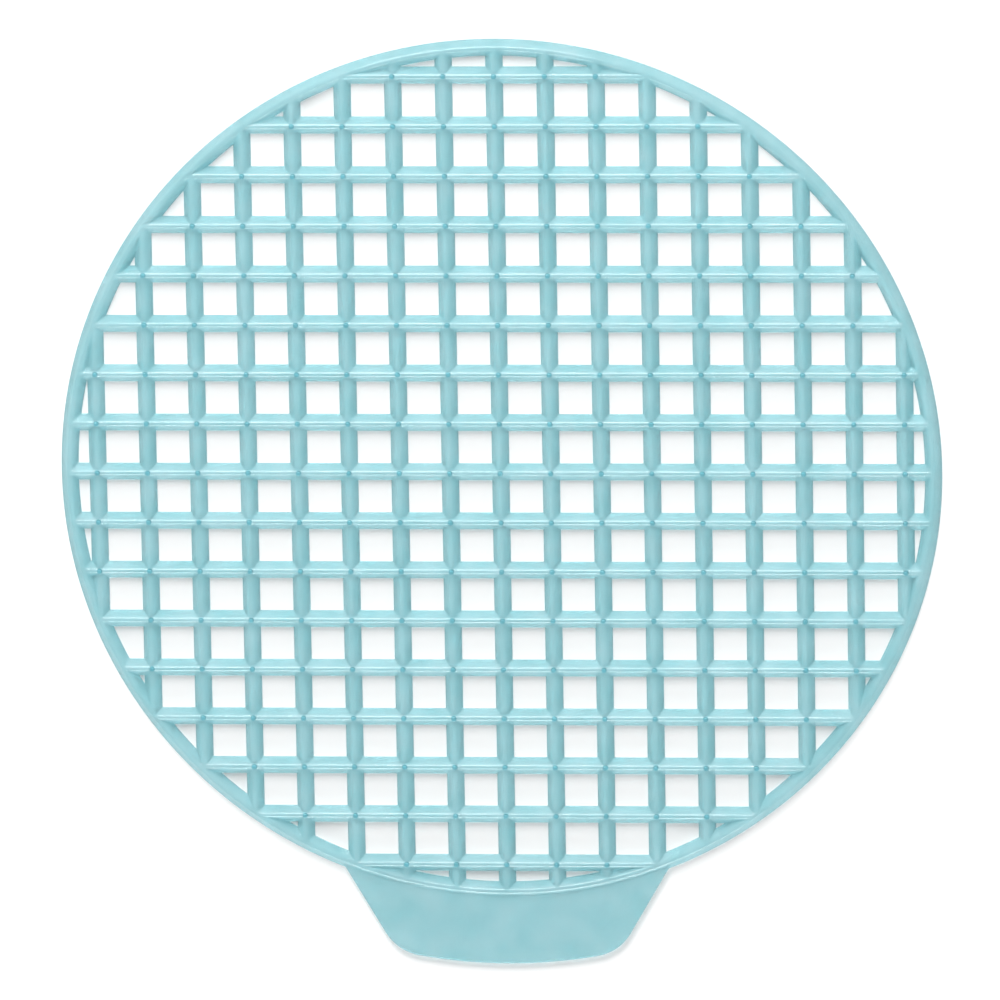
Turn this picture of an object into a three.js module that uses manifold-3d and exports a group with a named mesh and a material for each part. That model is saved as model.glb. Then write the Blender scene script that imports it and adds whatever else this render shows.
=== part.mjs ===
// Urinal deodorizer screen: a round grille of crossed ribs with a pip on every crossing, a rim
// round the ribs and a flat lifting tab at one side, moulded in one piece of soft plastic.
// Millimetres, +Z up. The origin is the centre of the grille, on its flat underside.
// The tab points along -Y.
import * as THREE from 'three';
import { ConvexGeometry } from 'three/addons/geometries/ConvexGeometry.js';
import { mergeVertices } from 'three/addons/utils/BufferGeometryUtils.js';
import Module from 'manifold-3d';

const wasm = await Module();
wasm.setup();

// Grille
const screenDiameter = 178;
const ribPitch = 10.2;

// Ribs and rim rise from a flat base to a ridge, drafted all the way
const ribBaseWidth = 3.5;
const rimBaseWidth = 3.45;
const ridgeHeight = 1.85;
const rimSegments = 72;

// Pips on the crossings
const pipDiameter = 1.4;
const pipTipDiameter = 1;
const pipRise = 0.8;
const pipSides = 8;

// Lifting tab
const tabThickness = 1.1;
const tabReach = 13.6;
const tabRootWidth = 65.4;
const tabSideAngle = THREE.MathUtils.degToRad(30);
const tabCornerRadius = 10;
const tabRootRadius = 2;
const tabCurveSegments = 4;

const up = new THREE.Vector3(0, 0, 1);
const screenRadius = screenDiameter / 2;
const rimRidgeRadius = screenRadius - rimBaseWidth / 2;
const rimInnerRadius = screenRadius - rimBaseWidth;
const ribsEachSide = Math.floor(rimInnerRadius / ribPitch);

// A closed mesh as a solid that can be joined and cut.
function solidOf(geometry) {
  geometry.deleteAttribute('normal');
  geometry.deleteAttribute('uv');
  const merged = mergeVertices(geometry, 1e-5);
  const mesh = new wasm.Mesh({
    numProp: 3,
    vertProperties: new Float32Array(merged.attributes.position.array),
    triVerts: new Uint32Array(merged.index.array),
  });
  return new wasm.Manifold(mesh);
}

// A solid back as geometry for a mesh.
function geometryOf(solid) {
  const mesh = solid.getMesh();
  const geometry = new THREE.BufferGeometry();
  geometry.setAttribute('position', new THREE.BufferAttribute(mesh.vertProperties, 3));
  geometry.setIndex(new THREE.BufferAttribute(mesh.triVerts, 1));
  geometry.computeVertexNormals();
  return geometry;
}

function joined(solids) {
  return solids.reduce((sum, solid) => sum.add(solid));
}

// The roof section, across x and up y: base corners and ridge.
function roofPoints(middle, baseWidth) {
  return [
    new THREE.Vector2(middle - baseWidth / 2, 0),
    new THREE.Vector2(middle + baseWidth / 2, 0),
    new THREE.Vector2(middle, ridgeHeight),
  ];
}

// One rib along Y, at its place across the grille.
function ribGeometry(offset) {
  const section = new THREE.Shape(roofPoints(0, ribBaseWidth));
  const rib = new THREE.ExtrudeGeometry(section, { depth: screenDiameter, bevelEnabled: false });
  rib.translate(0, 0, -screenRadius);
  rib.rotateX(Math.PI / 2);
  rib.translate(offset, 0, 0);
  return rib;
}

// A disc as wide as the ridge of the rim, on the same facets as the rim.
function ridgeDisc() {
  const disc = new THREE.CylinderGeometry(rimRidgeRadius, rimRidgeRadius, 4 * ridgeHeight, rimSegments);
  disc.rotateX(Math.PI / 2);
  return solidOf(disc);
}

// Both rows of ribs, ending under the ridge of the rim.
function makeRibs() {
  const alongY = [];
  const alongX = [];
  for (let i = -ribsEachSide; i <= ribsEachSide; i++) {
    alongY.push(solidOf(ribGeometry(i * ribPitch)));
    alongX.push(solidOf(ribGeometry(i * ribPitch).rotateZ(Math.PI / 2)));
  }
  return joined(alongY).add(joined(alongX)).intersect(ridgeDisc());
}

function makeRim() {
  const section = roofPoints(rimRidgeRadius, rimBaseWidth);
  const rim = new THREE.LatheGeometry([...section, section[0]], rimSegments);
  rim.rotateX(Math.PI / 2);
  return solidOf(rim);
}

// The corners of a pip at one height. They stand over the ridges and valleys of the ribs.
function pipRing(diameter, height) {
  const corners = [];
  for (let k = 0; k < pipSides; k++) {
    corners.push(new THREE.Vector3(diameter / 2, 0, height).applyAxisAngle(up, 2 * Math.PI * k / pipSides));
  }
  return corners;
}

// A tapered pip on each crossing that lies wholly inside the rim, its foot sunk in the crossing.
function makePips() {
  const foot = ridgeHeight * (1 - pipDiameter / ribBaseWidth);
  const corners = [...pipRing(pipDiameter, foot), ...pipRing(pipTipDiameter, ridgeHeight + pipRise)];
  const pips = [];
  for (let i = -ribsEachSide; i <= ribsEachSide; i++) {
    for (let j = -ribsEachSide; j <= ribsEachSide; j++) {
      if (Math.hypot(i, j) * ribPitch + pipDiameter / 2 < rimInnerRadius) {
        pips.push(solidOf(new ConvexGeometry(corners).translate(i * ribPitch, j * ribPitch, 0)));
      }
    }
  }
  return joined(pips);
}

// The point at a radius from the centre of the grille, on a line beside the right side of the tab.
function besideTab(radius, distance) {
  const along = Math.sqrt(radius ** 2 - distance ** 2);
  return new THREE.Vector2(distance, -along).rotateAround(new THREE.Vector2(), -tabSideAngle);
}

// The outline of the tab: hollow root, straight side and round corner on the right, the end
// concentric with the rim, and the same on the left.
function tabShape() {
  const rootHalf = tabRootWidth / 2;
  const rootDepth = Math.sqrt(screenRadius ** 2 - rootHalf ** 2);
  const sideDistance = rootHalf * Math.cos(tabSideAngle) + rootDepth * Math.sin(tabSideAngle);
  const endRadius = screenRadius + tabReach;
  const flankRadius = screenRadius - rimBaseWidth / 2 * tabThickness / ridgeHeight;
  const facetedFlankRadius = flankRadius * Math.cos(Math.PI / rimSegments);
  const root = besideTab(facetedFlankRadius + tabRootRadius, sideDistance + tabRootRadius);
  const corner = besideTab(endRadius - tabCornerRadius, sideDistance - tabCornerRadius);
  const rootAngle = root.angle() - Math.PI;
  const cornerAngle = corner.angle();
  const shape = new THREE.Shape();
  shape.absarc(root.x, root.y, tabRootRadius, rootAngle, Math.PI - tabSideAngle, false);
  shape.absarc(corner.x, corner.y, tabCornerRadius, -tabSideAngle, cornerAngle, true);
  shape.absarc(0, 0, endRadius, cornerAngle, 3 * Math.PI - cornerAngle, true);
  shape.absarc(-corner.x, corner.y, tabCornerRadius, 3 * Math.PI - cornerAngle, Math.PI + tabSideAngle, true);
  shape.absarc(-root.x, root.y, tabRootRadius, tabSideAngle, Math.PI - rootAngle, false);
  return shape;
}

function makeTab() {
  const plate = new THREE.ExtrudeGeometry(tabShape(), {
    depth: tabThickness,
    bevelEnabled: false,
    curveSegments: tabCurveSegments,
  });
  return solidOf(plate).subtract(ridgeDisc());
}

const softPlastic = new THREE.MeshStandardMaterial({ color: 0xa2d2db, roughness: 0.35, metalness: 0 });

const screenSolid = joined([makeRibs(), makeRim(), makeTab(), makePips()]);

const screen = new THREE.Mesh(geometryOf(screenSolid), softPlastic);
screen.name = 'screen';

const part = new THREE.Group();
part.name = 'urinal_screen';
part.add(screen);

export default part;
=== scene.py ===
# %% [markdown]
# # A urinal deodorizer screen
# The real object is one piece of soft, see-through aqua plastic, moulded flat: a square grille of
# crossed ribs with a pip on every crossing, a rim round it, and a plain tab to lift it by.
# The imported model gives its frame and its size. This lesson builds the fine moulding over it.

# %% Load the frame
import math

import bmesh
import bpy
from mathutils import Matrix, Vector


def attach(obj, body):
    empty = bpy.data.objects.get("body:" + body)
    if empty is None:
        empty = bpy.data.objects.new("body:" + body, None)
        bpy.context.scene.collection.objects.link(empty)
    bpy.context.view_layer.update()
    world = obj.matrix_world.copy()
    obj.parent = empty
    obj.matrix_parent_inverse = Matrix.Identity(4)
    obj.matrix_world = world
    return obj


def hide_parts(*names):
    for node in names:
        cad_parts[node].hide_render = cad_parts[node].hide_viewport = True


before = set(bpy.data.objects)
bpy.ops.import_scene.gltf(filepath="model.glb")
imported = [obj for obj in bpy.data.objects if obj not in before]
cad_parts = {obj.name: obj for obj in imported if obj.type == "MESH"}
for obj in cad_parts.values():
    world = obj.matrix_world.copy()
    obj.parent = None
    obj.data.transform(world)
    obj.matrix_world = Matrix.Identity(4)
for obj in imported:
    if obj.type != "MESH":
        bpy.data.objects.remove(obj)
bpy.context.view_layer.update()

# %% [markdown]
# ## Sizes
# Everything is in metres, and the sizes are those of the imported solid: a 7 inch disc, ribs a
# little over 10 mm apart, and a tab as wide as three fingers. The rounding of the edges is new
# here. A mould leaves no sharp edge, and a ridge only shows as a fine bright line because it is round.

# %% Sizes
MM = 0.001
SCREEN_RADIUS = 89 * MM
RIB_PITCH = 10.2 * MM
RIB_BASE = 3.5 * MM
RIM_BASE = 3.45 * MM
RIDGE_HEIGHT = 1.85 * MM
RIDGE_ROUNDING = 0.65 * MM
EDGE_LAND = 0.12 * MM

PIP_RADIUS = 0.7 * MM
PIP_TIP_RADIUS = 0.5 * MM
PIP_RISE = 0.8 * MM

TAB_THICKNESS = 1.1 * MM
TAB_REACH = 13.6 * MM
TAB_ROOT_WIDTH = 65.4 * MM
TAB_SIDE_ANGLE = math.radians(30)
TAB_CORNER = 10 * MM
TAB_ROOT_ROUNDING = 2 * MM
TAB_EDGE_ROUNDING = 0.25 * MM

RIM_RIDGE_RADIUS = SCREEN_RADIUS - RIM_BASE / 2
RIM_INNER_RADIUS = SCREEN_RADIUS - RIM_BASE
RIBS_EACH_SIDE = int(RIM_INNER_RADIUS // RIB_PITCH)
print("ribs each way:", 2 * RIBS_EACH_SIDE + 1)

# %% [markdown]
# ## The roof section
# Ribs and rim share one section: a flat base, two slopes that let the part leave its mould, and a
# rounded ridge. The ridge is an arc that runs into both slopes without a kink. A narrow upright
# land at the base stands for the edge that every mould closes on.

# %% The roof section
RIDGE_STEPS = 6


def roof_profile(base, height):
    """The section as (across, up) points, from the right foot over the ridge to the left foot."""
    half = base / 2
    rise = height - EDGE_LAND
    slope = math.atan2(rise, half)
    for _ in range(20):
        sharp_rise = rise + RIDGE_ROUNDING * (1 / math.cos(slope) - 1)
        slope = math.atan2(sharp_rise, half)
    centre = height - RIDGE_ROUNDING
    points = [(half, 0), (half, EDGE_LAND)]
    for k in range(RIDGE_STEPS + 1):
        lean = slope * (1 - 2 * k / RIDGE_STEPS)
        points.append((RIDGE_ROUNDING * math.sin(lean), centre + RIDGE_ROUNDING * math.cos(lean)))
    return points + [(-half, EDGE_LAND), (-half, 0)]


print("points in the rib's section:", len(roof_profile(RIB_BASE, RIDGE_HEIGHT)))

# %% [markdown]
# ## Skins from rings
# A rib, the rim and a pip are all the same kind of form: a section carried along a path. One
# helper joins a row of equal rings into a closed skin. The ends are capped, or the last ring
# joins the first. A curve with a bevel object would do it too, but its ends stay open.


# %% Skins from rings
def ring_skin(rings, closed=False):
    """Vertices and faces of the closed skin through rings of equal length."""
    size = len(rings[0])
    vertices = [point for ring in rings for point in ring]
    faces = []
    for a in range(len(rings) if closed else len(rings) - 1):
        b = (a + 1) % len(rings)
        for k in range(size):
            n = (k + 1) % size
            faces.append((a * size + k, a * size + n, b * size + n, b * size + k))
    if not closed:
        faces.append(tuple(reversed(range(size))))
        faces.append(tuple(range((len(rings) - 1) * size, len(rings) * size)))
    return vertices, faces


def solid_object(name, skins):
    """One object of several closed skins that don't touch, with every face pointing out."""
    shape = bmesh.new()
    for vertices, faces in skins:
        placed = [shape.verts.new(v) for v in vertices]
        for face in faces:
            shape.faces.new([placed[k] for k in face])
    bmesh.ops.recalc_face_normals(shape, faces=shape.faces)
    mesh = bpy.data.meshes.new(name)
    shape.to_mesh(mesh)
    shape.free()
    made = bpy.data.objects.new(name, mesh)
    bpy.context.scene.collection.objects.link(made)
    return made


# %% [markdown]
# ## Two rows of ribs
# The mould was cut with one V-shaped cutter, first one way and then the other, so the ribs of
# both rows have the same height and meet in clean mitres. Joining two rows of straight bars
# gives these mitres by itself. Drawing each cell by hand would give the same with more work.


# %% Two rows of ribs
def rib_skins(across_x):
    """Straight bars, one per rib, each long enough to reach past the rim's ridge."""
    skins = []
    for i in range(-RIBS_EACH_SIDE, RIBS_EACH_SIDE + 1):
        rings = []
        for end in (-SCREEN_RADIUS, SCREEN_RADIUS):
            ring = []
            for across, up in roof_profile(RIB_BASE, RIDGE_HEIGHT):
                place = (i * RIB_PITCH + across, end, up)
                ring.append((place[1], place[0], up) if across_x else place)
            rings.append(ring)
        skins.append(ring_skin(rings))
    return skins


ribs = solid_object("ribs_lengthwise", rib_skins(False))
cross_ribs = solid_object("ribs_crosswise", rib_skins(True))
print("faces in each row of ribs:", len(ribs.data.polygons), len(cross_ribs.data.polygons))

# %% [markdown]
# ## The rim
# The rim is the ribs' section turned once round the centre. A disc as wide as its ridge trims
# the ribs, so that they end inside it.

# %% The rim
RIM_STEPS = 288


def turned_ring(angle, profile, radius):
    """The profile stood upright at an angle round the centre."""
    return [((radius + across) * math.cos(angle), (radius + across) * math.sin(angle), up)
            for across, up in profile]


def circle_ring(radius, up, steps, x=0, y=0):
    """A level circle of points."""
    return [(x + radius * math.cos(2 * math.pi * k / steps), y + radius * math.sin(2 * math.pi * k / steps), up)
            for k in range(steps)]


rim_rings = [turned_ring(2 * math.pi * k / RIM_STEPS, roof_profile(RIM_BASE, RIDGE_HEIGHT), RIM_RIDGE_RADIUS)
             for k in range(RIM_STEPS)]
rim = solid_object("rim", [ring_skin(rim_rings, closed=True)])
trim = solid_object("trim_disc", [ring_skin([circle_ring(RIM_RIDGE_RADIUS, up, RIM_STEPS)
                                             for up in (-2 * MM, 4 * MM)])])
print("width over the rim's ridge in mm:", round(2 * RIM_RIDGE_RADIUS / MM, 2))

# %% [markdown]
# ## The pips
# Each crossing carries a small stud, left by a drilled hole in the mould. It stands on every
# crossing that lies wholly inside the rim. Its end is domed, and so it shows as a dark ring with
# a bright middle. A few rings from foot to tip draw the taper and the dome.

# %% The pips
PIP_STEPS = 16
DOME_STEPS = 4
DOME_HEIGHT = 0.6 * PIP_TIP_RADIUS


def pip_rings(x, y):
    """Rings of one pip, from the sunk foot to the top of its dome."""
    foot = RIDGE_HEIGHT * (1 - 2 * PIP_RADIUS / RIB_BASE)
    shoulder = RIDGE_HEIGHT + PIP_RISE - DOME_HEIGHT
    rings = [circle_ring(PIP_RADIUS, foot, PIP_STEPS, x, y)]
    for k in range(DOME_STEPS + 1):
        turn = math.pi / 2 * k / (DOME_STEPS + 0.35)
        radius = PIP_TIP_RADIUS * math.cos(turn)
        rings.append(circle_ring(radius, shoulder + DOME_HEIGHT * math.sin(turn), PIP_STEPS, x, y))
    return rings


pip_skins = []
for i in range(-RIBS_EACH_SIDE, RIBS_EACH_SIDE + 1):
    for j in range(-RIBS_EACH_SIDE, RIBS_EACH_SIDE + 1):
        if math.hypot(i, j) * RIB_PITCH + PIP_RADIUS < RIM_INNER_RADIUS:
            pip_skins.append(ring_skin(pip_rings(i * RIB_PITCH, j * RIB_PITCH)))
pips = solid_object("pips", pip_skins)
print("pips:", len(pip_skins))

# %% [markdown]
# ## The tab
# The tab is a flat plate, low on the rim's outer slope. Its end follows the rim, its sides draw
# in at 30 degrees, its corners are round and its roots are hollow. Arcs draw all of that, and a
# bevel softens the edge, as the moulded one is soft.


# %% The tab
def beside_tab(radius, distance):
    """The point at a radius from the centre, on a line beside the tab's right side."""
    along = math.sqrt(radius ** 2 - distance ** 2)
    return Matrix.Rotation(-TAB_SIDE_ANGLE, 2) @ Vector((distance, -along))


def arc(centre, radius, start, end, steps):
    """Points along an arc, both ends included."""
    return [(centre[0] + radius * math.cos(start + (end - start) * k / steps),
             centre[1] + radius * math.sin(start + (end - start) * k / steps)) for k in range(steps + 1)]


def tab_half():
    """The right half of the tab's outline, from the rim to the middle of its end."""
    root_half = TAB_ROOT_WIDTH / 2
    root_depth = math.sqrt(SCREEN_RADIUS ** 2 - root_half ** 2)
    side = root_half * math.cos(TAB_SIDE_ANGLE) + root_depth * math.sin(TAB_SIDE_ANGLE)
    end_radius = SCREEN_RADIUS + TAB_REACH
    flank_radius = SCREEN_RADIUS - RIM_BASE / 2 * TAB_THICKNESS / RIDGE_HEIGHT
    root = beside_tab(flank_radius + TAB_ROOT_ROUNDING, side + TAB_ROOT_ROUNDING)
    corner = beside_tab(end_radius - TAB_CORNER, side - TAB_CORNER)
    root_angle = math.atan2(-root.y, -root.x)
    corner_angle = math.atan2(corner.y, corner.x)
    points = arc(root, TAB_ROOT_ROUNDING, root_angle, math.pi - TAB_SIDE_ANGLE, 8)
    points += arc(corner, TAB_CORNER, -TAB_SIDE_ANGLE, corner_angle, 16)
    points += arc((0, 0), end_radius, corner_angle, -math.pi / 2, 12)[1:]
    return points


right = tab_half()
outline = right + [(-x, y) for x, y in reversed(right[:-1])]
tab = solid_object("tab", [ring_skin([[(x, y, up) for x, y in outline] for up in (0, TAB_THICKNESS)])])
soften = tab.modifiers.new("soft edge", "BEVEL")
soften.width = TAB_EDGE_ROUNDING
soften.segments = 3
soften.limit_method = "ANGLE"
soften.angle_limit = math.radians(60)
print("tab outline points:", len(outline))

# %% [markdown]
# ## One moulding
# The real part is one shot of plastic with no seam, so the pieces are joined into one closed
# skin: the rows cross, the disc trims them, and the rim, the tab and the pips are added. A
# remesh would join them too, but it would blur the mitres.


# %% One moulding
def settled(piece):
    """The piece's mesh with its modifiers applied."""
    graph = bpy.context.evaluated_depsgraph_get()
    return bpy.data.meshes.new_from_object(piece.evaluated_get(graph))


def shaped(piece, other, operation):
    """Joins, trims or cuts the piece by the other one, which stays."""
    step = piece.modifiers.new(operation, "BOOLEAN")
    step.operation = operation
    step.solver = "MANIFOLD"
    step.object = other
    result = settled(piece)
    piece.modifiers.clear()
    piece.data = result


def combine(piece, other, operation):
    """Joins or trims the piece by the other one, which is then taken away."""
    shaped(piece, other, operation)
    bpy.data.objects.remove(other)


shaped(tab, trim, "DIFFERENCE")
combine(ribs, cross_ribs, "UNION")
combine(ribs, trim, "INTERSECT")
combine(ribs, rim, "UNION")
combine(ribs, tab, "UNION")
combine(ribs, pips, "UNION")
screen = ribs
screen.name = "screen_moulding"
screen.data.name = "screen_moulding"
print("triangles in the moulding:", sum(len(p.vertices) - 2 for p in screen.data.polygons))

# %% [markdown]
# ## Shading
# Round forms shade smoothly and mitres stay crisp: edges that turn by more than 30 degrees are
# marked sharp. Weighted normals keep the long flat slopes flat beside the small arcs.

# %% Shading
screen.data.shade_smooth()
screen.data.set_sharp_from_angle(angle=math.radians(30))
weights = screen.modifiers.new("weighted normals", "WEIGHTED_NORMAL")
weights.keep_sharp = True
print("sharp edges:", sum(edge.use_edge_sharp for edge in screen.data.edges))

# %% [markdown]
# ## Helpers for materials
# Colours are written as the hex values that a picture shows and made linear by one function.
# Another adds a node with its settings and links, so that a material reads as a short list.


# %% Colour and node helpers
def linear(hex_colour):
    """An sRGB hex colour as linear red, green, blue and alpha."""
    values = [int(hex_colour[k:k + 2], 16) / 255 for k in (1, 3, 5)]
    return [v / 12.92 if v <= 0.04045 else ((v + 0.055) / 1.055) ** 2.4 for v in values] + [1]


def add_node(tree, kind, settings, links):
    """Adds a node with its settings and its input links."""
    node = tree.nodes.new(kind)
    for name, value in settings.items():
        if hasattr(node, name) and name not in node.inputs:
            setattr(node, name, value)
        else:
            node.inputs[name].default_value = value
    for name, source in links.items():
        tree.links.new(source, node.inputs[name])
    return node


def new_material(name):
    """An empty node material and its output."""
    material = bpy.data.materials.new(name)
    material.use_nodes = True
    material.node_tree.nodes.clear()
    return material, material.node_tree.nodes.new("ShaderNodeOutputMaterial")


print("linear value of mid grey:", round(linear("#808080")[0], 3))

# %% [markdown]
# ## The plastic
# The part is EVA, ethylene-vinyl acetate filled with scent: rubbery, hazy and see-through. Most
# of the light goes through and is tinted as it enters and leaves. The rest is scattered back, so
# slopes that face the light look milky. The mould is polished, which leaves a soft gloss and a
# fine bright line on the ridges. Pips are the thickest places, and their tops get a deeper colour:
# painted shade for the light that the thicker plastic holds back.

# %% Hazy aqua EVA
HAZE_GRAIN = 6 * MM
SKIN_GRAIN = 0.35 * MM
CLEAR_SHARE = 0.72
BODY_PALE = "#C9ECF1"
BODY_DEEP = "#B9E6EB"
# Painted shade: the deeper colour given to the tops of the pips, where the plastic is thicker.
PIP_PAINTED_SHADE = "#74C8D6"
GLOSS_LOW = 0.14
GLOSS_HIGH = 0.22
SKIN_STRENGTH = 0.12
SKIN_DEPTH = 0.02 * MM


def hazy_aqua_eva():
    """Moulded EVA, tinted aqua: soft gloss, mostly see-through and slightly milky."""
    material, output = new_material("moulded_eva_aqua")
    tree = material.node_tree
    place = add_node(tree, "ShaderNodeTexCoord", {}, {})
    cloud = add_node(tree, "ShaderNodeTexNoise", {"Scale": 1 / HAZE_GRAIN, "Detail": 3},
                     {"Vector": place.outputs["Object"]})
    gloss = add_node(tree, "ShaderNodeMapRange", {"To Min": GLOSS_LOW, "To Max": GLOSS_HIGH},
                     {"Value": cloud.outputs["Fac"]})
    tint = add_node(tree, "ShaderNodeValToRGB", {}, {"Fac": cloud.outputs["Fac"]})
    tint.color_ramp.elements[0].position = 0.3
    tint.color_ramp.elements[0].color = linear(BODY_DEEP)
    tint.color_ramp.elements[1].position = 0.7
    tint.color_ramp.elements[1].color = linear(BODY_PALE)
    # Painted shade: from the ridges' height upwards, the colour turns to the deeper pip colour.
    height = add_node(tree, "ShaderNodeSeparateXYZ", {}, {"Vector": place.outputs["Object"]})
    stud = add_node(tree, "ShaderNodeMapRange",
                    {"From Min": RIDGE_HEIGHT, "From Max": RIDGE_HEIGHT + PIP_RISE / 3},
                    {"Value": height.outputs["Z"]})
    body = add_node(tree, "ShaderNodeMixRGB", {"Color2": linear(PIP_PAINTED_SHADE)},
                    {"Fac": stud.outputs["Result"], "Color1": tint.outputs["Color"]})
    skin = add_node(tree, "ShaderNodeTexNoise", {"Scale": 1 / SKIN_GRAIN, "Detail": 2},
                    {"Vector": place.outputs["Object"]})
    relief = add_node(tree, "ShaderNodeBump", {"Strength": SKIN_STRENGTH, "Distance": SKIN_DEPTH},
                      {"Height": skin.outputs["Fac"]})
    shader = add_node(tree, "ShaderNodeBsdfPrincipled",
                      {"IOR": 1.49, "Transmission Weight": CLEAR_SHARE},
                      {"Base Color": body.outputs["Color"], "Roughness": gloss.outputs["Result"],
                       "Normal": relief.outputs["Normal"]})
    tree.links.new(shader.outputs["BSDF"], output.inputs["Surface"])
    return material


screen.data.materials.clear()
screen.data.materials.append(hazy_aqua_eva())
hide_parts("screen")
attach(screen, "root")
print("material:", screen.data.materials[0].name)

# %% [markdown]
# ## The table
# The screen lies flat on a white table. A hair's breadth between them keeps the two faces apart.

# %% Table
FLOOR_GAP = 0.03 * MM


def white_table():
    """A plain matt white table top."""
    material, output = new_material("matt_white_table")
    tree = material.node_tree
    shader = add_node(tree, "ShaderNodeBsdfPrincipled",
                      {"Base Color": linear("#FFFFFF"), "Roughness": 0.9, "Specular IOR Level": 0.0}, {})
    tree.links.new(shader.outputs["BSDF"], output.inputs["Surface"])
    return material


floor_mesh = bpy.data.meshes.new("table_top")
floor_mesh.from_pydata([(-3, -3, -FLOOR_GAP), (3, -3, -FLOOR_GAP), (3, 3, -FLOOR_GAP), (-3, 3, -FLOOR_GAP)],
                       [], [(0, 1, 2, 3)])
floor = bpy.data.objects.new("table_top", floor_mesh)
bpy.context.scene.collection.objects.link(floor)
floor_mesh.materials.append(white_table())
print("table below the screen by mm:", FLOOR_GAP / MM)

# %% [markdown]
# ## Lights
# A softbox stands low behind the screen, a little to the left, so that each crosswise rib shades
# the opening in front of it. A low card in front sends some light back onto the slopes that face
# the other way.

# %% Lights
LIGHT_DISTANCE = 1.3


def area_light(name, height_degrees, side_degrees, width, depth, power):
    """An area light that faces the screen, its height and side angle measured from straight behind."""
    height, side = math.radians(height_degrees), math.radians(side_degrees)
    direction = Vector((math.sin(side) * math.cos(height), math.cos(side) * math.cos(height), math.sin(height)))
    data = bpy.data.lights.new(name, "AREA")
    data.shape = "RECTANGLE"
    data.size, data.size_y, data.energy = width, depth, power
    light = bpy.data.objects.new(name, data)
    light.location = direction * LIGHT_DISTANCE
    light.rotation_euler = direction.to_track_quat("Z", "Y").to_euler()
    bpy.context.scene.collection.objects.link(light)
    print(name, "power in W:", power)


area_light("softbox", height_degrees=30, side_degrees=-9, width=0.8, depth=0.8, power=24)
area_light("bounce_card", height_degrees=12, side_degrees=180, width=1.2, depth=0.4, power=18)

# %% [markdown]
# ## The room
# A white room fills the shadows. What the camera sees of it, straight, mirrored or through the
# plastic, is plain white, and matt surfaces get a lower level, which leaves the shadows in place.

# %% Room
ROOM_FILL = 0.4

room = bpy.data.worlds.new("white_room")
bpy.context.scene.world = room
room.use_nodes = True
room.node_tree.nodes.clear()
path = add_node(room.node_tree, "ShaderNodeLightPath", {}, {})
seen = add_node(room.node_tree, "ShaderNodeMath", {"operation": "MAXIMUM"}, {})
room.node_tree.links.new(path.outputs["Is Camera Ray"], seen.inputs[0])
room.node_tree.links.new(path.outputs["Is Transmission Ray"], seen.inputs[1])
mirrored = add_node(room.node_tree, "ShaderNodeMath", {"operation": "MAXIMUM"}, {})
room.node_tree.links.new(seen.outputs["Value"], mirrored.inputs[0])
room.node_tree.links.new(path.outputs["Is Glossy Ray"], mirrored.inputs[1])
level = add_node(room.node_tree, "ShaderNodeMapRange", {"To Min": ROOM_FILL, "To Max": 1.0},
                 {"Value": mirrored.outputs["Value"]})
sky = add_node(room.node_tree, "ShaderNodeBackground", {"Color": (1, 1, 1, 1)},
               {"Strength": level.outputs["Result"]})
room_output = room.node_tree.nodes.new("ShaderNodeOutputWorld")
room.node_tree.links.new(sky.outputs["Background"], room_output.inputs["Surface"])
print("level of the room on matt surfaces:", ROOM_FILL)

# %% [markdown]
# ## The camera
# The camera looks down from 2.5 m through a long lens and leans by 14 degrees from the side
# opposite the tab. The lean draws the round rim into a slight oval.

# %% Camera
CAMERA_DISTANCE = 2.5
CAMERA_LENS = 446.25
CAMERA_TILT = math.radians(14.28)
CAMERA_AZIMUTH = math.radians(161.65)
CAMERA_TURN = math.radians(-162.07)
CAMERA_AIM = Vector((-0.26, -5.88, 0)) * MM

camera_data = bpy.data.cameras.new("camera")
camera_data.sensor_width = 36
camera_data.lens = CAMERA_LENS
camera_data.clip_end = 50
camera = bpy.data.objects.new("camera", camera_data)
aim = (Matrix.Rotation(CAMERA_AZIMUTH, 4, "Z") @ Matrix.Rotation(CAMERA_TILT, 4, "X")
       @ Matrix.Rotation(CAMERA_TURN, 4, "Z"))
camera.matrix_world = Matrix.Translation(CAMERA_AIM + aim.col[2].xyz * CAMERA_DISTANCE) @ aim
bpy.context.scene.collection.objects.link(camera)
bpy.context.scene.camera = camera
bpy.context.scene.view_settings.view_transform = "Standard"
print("camera at:", [round(c, 3) for c in camera.location])
